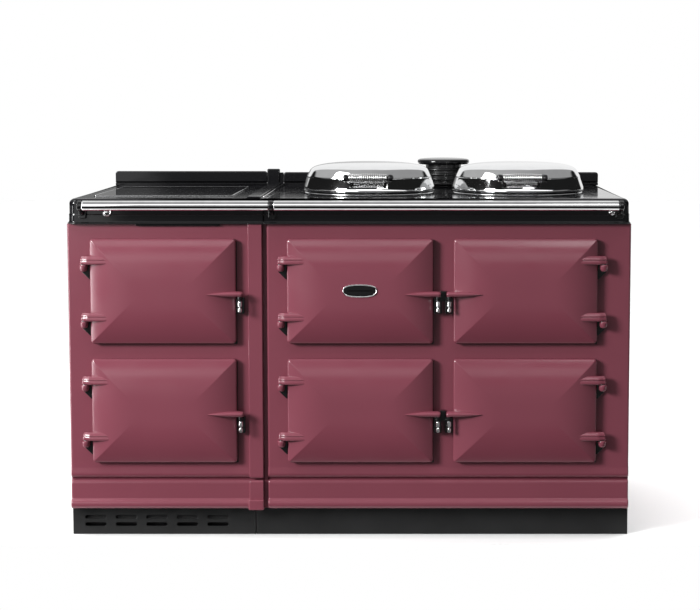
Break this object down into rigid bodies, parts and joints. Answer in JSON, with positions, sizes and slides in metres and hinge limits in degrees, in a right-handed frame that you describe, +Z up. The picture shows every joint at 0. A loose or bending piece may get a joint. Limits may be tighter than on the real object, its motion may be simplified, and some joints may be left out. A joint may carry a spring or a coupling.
{
  "type": "cast iron range cooker",
  "caption": "Wide enamelled cast iron range cooker: side-hung oven doors in two modules, a flush glass hob, lidded round hotplates, towel rails and a black plinth.",
  "frame": {"origin": "on the floor at the centre of the object's bounding box", "axes": "+X to the right seen from the front, -Y out of the front, +Z up"},
  "size_m": [1.48, 0.746, 0.985],
  "materials": {
    "black_enamel": "glossy black vitreous enamel",
    "box_plastic": "moulded",
    "bracket_black": "gloss black",
    "cast_iron": "machined",
    "chrome": "polished",
    "coil_steel": "polished wire coil with black posts",
    "element_alloy": "dull oxide",
    "enamel": "glossy vitreous enamel, rose mauve",
    "enamel_side": "glossy enamel on sheet steel, rose mauve",
    "hinge_iron": "satin black",
    "hob_glass": "black ceramic glass, polished",
    "insulating_core": "insulating board inside a thin brushed steel pan",
    "knob_metal": "satin",
    "lid_chrome": "polished and spun",
    "mineral_packing": "matted mineral wool",
    "oven_iron": "dark speckled enamel",
    "panel_black": "satin black",
    "plinth_black": "satin black paint",
    "shelf_chrome": "bright wire",
    "steel_plate": "brushed",
    "steel_zinc": "satin zinc plate"
  },
  "bodies": {
    "cooker": {"plinth_left": "plinth_black", "plinth_right": "plinth_black", "levelling_feet": "steel_zinc", "base_plates": "steel_zinc", "skirts": "enamel", "cabinet_panels": "enamel_side", "insulation": "mineral_packing", "front_plate_left": "enamel", "front_plate_right": "enamel", "pilaster_strip": "enamel", "top_plate_left": "black_enamel", "top_plate_right": "black_enamel", "joint_cover": "black_enamel", "upstands": "black_enamel", "hob_glass": "hob_glass", "hob_trim": "chrome", "heating_elements": "element_alloy", "hotplates": "cast_iron", "lid_hinges": "hinge_iron", "vent_neck": "hinge_iron", "vent_cap": "black_enamel", "towel_rails": "chrome", "rail_brackets": "bracket_black", "rail_screws": "chrome", "ovens_left": "oven_iron", "ovens_right": "oven_iron", "oven_shelves": "shelf_chrome", "control_box": "steel_plate", "control_panel": "panel_black", "terminal_box": "box_plastic", "hinge_blocks": "enamel", "hinge_pins": "steel_zinc", "door_catches": "bracket_black"},
    "door_slow_body": {"door_slow": "enamel", "plug_slow": "insulating_core", "peg_slow": "chrome"},
    "door_warm_body": {"door_warm": "enamel", "plug_warm": "insulating_core", "peg_warm": "chrome"},
    "door_control_body": {"door_control": "enamel", "peg_control": "chrome", "badge_plate": "chrome"},
    "door_bake_body": {"door_bake": "enamel", "plug_bake": "insulating_core", "peg_bake": "chrome"},
    "door_roast_body": {"door_roast": "enamel", "plug_roast": "insulating_core", "peg_roast": "chrome"},
    "door_simmer_body": {"door_simmer": "enamel", "plug_simmer": "insulating_core", "peg_simmer": "chrome"},
    "lid_left": {"lid_shell_left": "lid_chrome", "lid_pad_left": "insulating_core", "lid_handle_left": "coil_steel"},
    "lid_right": {"lid_shell_right": "lid_chrome", "lid_pad_right": "insulating_core", "lid_handle_right": "coil_steel"},
    "knob_left_body": {"knob_left": "knob_metal"},
    "knob_middle_body": {"knob_middle": "knob_metal"},
    "knob_right_body": {"knob_right": "knob_metal"}
  },
  "joints": [
    {"name": "door_slow_hinge", "type": "hinge", "parent": "cooker", "child": "door_slow_body", "pos_m": [-0.691, -0.33, 0.6655], "axis": [0, 0, -1], "range_deg": [0, 110]},
    {"name": "door_warm_hinge", "type": "hinge", "parent": "cooker", "child": "door_warm_body", "pos_m": [-0.691, -0.33, 0.35], "axis": [0, 0, -1], "range_deg": [0, 110]},
    {"name": "door_control_hinge", "type": "hinge", "parent": "cooker", "child": "door_control_body", "pos_m": [-0.178, -0.33, 0.6655], "axis": [0, 0, -1], "range_deg": [0, 110]},
    {"name": "door_bake_hinge", "type": "hinge", "parent": "cooker", "child": "door_bake_body", "pos_m": [-0.178, -0.33, 0.35], "axis": [0, 0, -1], "range_deg": [0, 110]},
    {"name": "door_roast_hinge", "type": "hinge", "parent": "cooker", "child": "door_roast_body", "pos_m": [0.664, -0.33, 0.6655], "axis": [0, 0, 1], "range_deg": [0, 110]},
    {"name": "door_simmer_hinge", "type": "hinge", "parent": "cooker", "child": "door_simmer_body", "pos_m": [0.664, -0.33, 0.35], "axis": [0, 0, 1], "range_deg": [0, 110]},
    {"name": "lid_left_hinge", "type": "hinge", "parent": "cooker", "child": "lid_left", "pos_m": [0.0465, 0.217, 0.925], "axis": [-1, 0, 0], "range_deg": [0, 95]},
    {"name": "lid_right_hinge", "type": "hinge", "parent": "cooker", "child": "lid_right", "pos_m": [0.462, 0.217, 0.925], "axis": [-1, 0, 0], "range_deg": [0, 95]},
    {"name": "knob_left_turn", "type": "hinge", "parent": "cooker", "child": "knob_left_body", "pos_m": [-0.075, -0.239, 0.6385], "axis": [0, 1, 0], "range_deg": [0, 270]},
    {"name": "knob_middle_turn", "type": "hinge", "parent": "cooker", "child": "knob_middle_body", "pos_m": [0.029, -0.239, 0.6385], "axis": [0, 1, 0], "range_deg": [0, 270]},
    {"name": "knob_right_turn", "type": "hinge", "parent": "cooker", "child": "knob_right_body", "pos_m": [0.133, -0.239, 0.6385], "axis": [0, 1, 0], "range_deg": [0, 270]}
  ]
}
